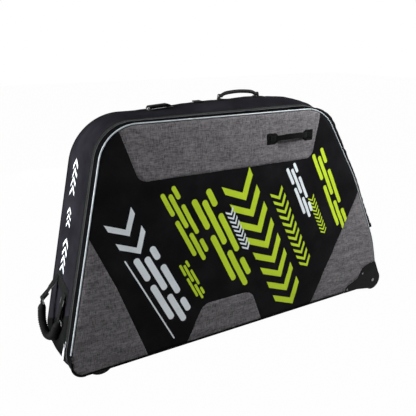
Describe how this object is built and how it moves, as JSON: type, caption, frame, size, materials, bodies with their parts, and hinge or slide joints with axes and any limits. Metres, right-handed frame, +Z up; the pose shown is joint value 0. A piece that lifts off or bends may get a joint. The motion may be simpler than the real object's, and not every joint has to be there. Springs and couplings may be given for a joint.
{
  "type": "bike travel bag",
  "caption": "Wheeled soft travel bag for a bicycle: humped padded case with a zipped fold-down side, carry handles, a pull handle on one end and moulded corner guards over wheels.",
  "frame": {"origin": "on the floor under the middle of the bounding box", "axes": "+X from the pull end to the end with the corner guards, -Y out of the fold-down side, +Z up"},
  "size_m": [1.4405, 0.2999, 0.8899],
  "materials": {
    "black_fabric": "matte woven",
    "grey_fabric": "matte heather weave",
    "padding": "matte",
    "reflective_piping": "satin reflective",
    "zipper_tape": "matte",
    "black_webbing": "ribbed weave",
    "board_plastic": "matte",
    "moulded_plastic": "grained",
    "grip_plastic": "matte ribbed",
    "tyre": "matte",
    "hub_plastic": "satin",
    "axle_steel": "brushed",
    "slider_metal": "polished",
    "fitting_metal": "satin plated",
    "clear_pane": "glossy"
  },
  "bodies": {
    "case": {"wall_pull_end": "black_fabric", "wall_top": "black_fabric", "wall_wheel_end": "black_fabric", "wall_pull_foot": "black_fabric", "wall_foot": "black_fabric", "base_board": "board_plastic", "base_pad": "padding", "back_panel": "black_fabric", "back_piping": "reflective_piping", "zipper_half_case": "zipper_tape", "wheel_pocket_back": "black_fabric", "tie_strap_1": "black_webbing", "tie_strap_2": "black_webbing", "tie_buckle_1": "moulded_plastic", "tie_buckle_2": "moulded_plastic", "corner_guard_front": "moulded_plastic", "corner_guard_back": "moulded_plastic", "wheel_housing_front": "moulded_plastic", "wheel_housing_back": "moulded_plastic", "axle_pull_front": "axle_steel", "axle_pull_back": "axle_steel", "axle_guard_front": "axle_steel", "axle_guard_back": "axle_steel", "handle_webbing": "black_webbing", "handle_bracket_pull": "moulded_plastic", "handle_bracket_wheel": "moulded_plastic", "tag_frame": "moulded_plastic", "tag_pane": "clear_pane", "pull_patch": "black_fabric"},
    "lid": {"front_panel": "black_fabric", "front_rim": "black_fabric", "front_piping": "reflective_piping", "zipper_half_lid": "zipper_tape", "yoke_cover": "grey_fabric", "pull_corner_cover": "grey_fabric", "wheel_corner_cover": "grey_fabric", "base_cover": "grey_fabric", "side_patch_pull": "black_webbing", "side_patch_wheel": "black_webbing", "side_strap": "black_webbing", "wheel_pocket_front": "black_fabric"},
    "wheel_pull_front": {"tyre_pull_front": "tyre", "hub_pull_front": "hub_plastic"},
    "wheel_pull_back": {"tyre_pull_back": "tyre", "hub_pull_back": "hub_plastic"},
    "wheel_guard_front": {"tyre_guard_front": "tyre", "hub_guard_front": "hub_plastic"},
    "wheel_guard_back": {"tyre_guard_back": "tyre", "hub_guard_back": "hub_plastic"},
    "handle_grip": {"top_grip": "grip_plastic"},
    "pull_handle": {"pull_strap_near": "black_webbing", "pull_strap_far": "black_webbing", "pull_glide_near": "fitting_metal", "pull_glide_far": "fitting_metal", "pull_ring_near": "fitting_metal", "pull_ring_far": "fitting_metal", "pull_grip": "grip_plastic"},
    "slider": {"zip_slider": "slider_metal"},
    "slider_pull": {"zip_pull": "slider_metal"}
  },
  "joints": [
    {"name": "lid_hinge", "type": "hinge", "parent": "case", "child": "lid", "pos_m": [0, -0.12625, 0.026], "axis": [1, 0, 0], "range_deg": [0, 90]},
    {"name": "wheel_spin_pull_front", "type": "hinge", "parent": "case", "child": "wheel_pull_front", "pos_m": [-0.57475, -0.0924, 0.05], "axis": [0, 1, 0], "continuous": true},
    {"name": "wheel_spin_pull_back", "type": "hinge", "parent": "case", "child": "wheel_pull_back", "pos_m": [-0.57475, 0.1149, 0.05], "axis": [0, 1, 0], "continuous": true},
    {"name": "wheel_spin_guard_front", "type": "hinge", "parent": "case", "child": "wheel_guard_front", "pos_m": [0.67025, -0.0924, 0.05], "axis": [0, 1, 0], "continuous": true},
    {"name": "wheel_spin_guard_back", "type": "hinge", "parent": "case", "child": "wheel_guard_back", "pos_m": [0.67025, 0.1149, 0.05], "axis": [0, 1, 0], "continuous": true},
    {"name": "zip_slide", "type": "slide", "parent": "case", "child": "slider", "axis": [0.2111, 0, 0.9775], "range_m": [0, 0.5]},
    {"name": "zip_pull_swing", "type": "hinge", "parent": "slider", "child": "slider_pull", "pos_m": [-0.68002, -0.07625, 0.13013], "axis": [0, 1, 0], "range_deg": [0, 160]},
    {"name": "top_handle_tip", "type": "hinge", "parent": "case", "child": "handle_grip", "pos_m": [0.04625, 0.03125, 0.87133], "axis": [1, 0, 0], "range_deg": [-60, 60]},
    {"name": "pull_handle_swing", "type": "hinge", "parent": "case", "child": "pull_handle", "pos_m": [-0.64847, 0.03125, 0.28427], "axis": [0, 1, 0], "range_deg": [0, 100]}
  ]
}
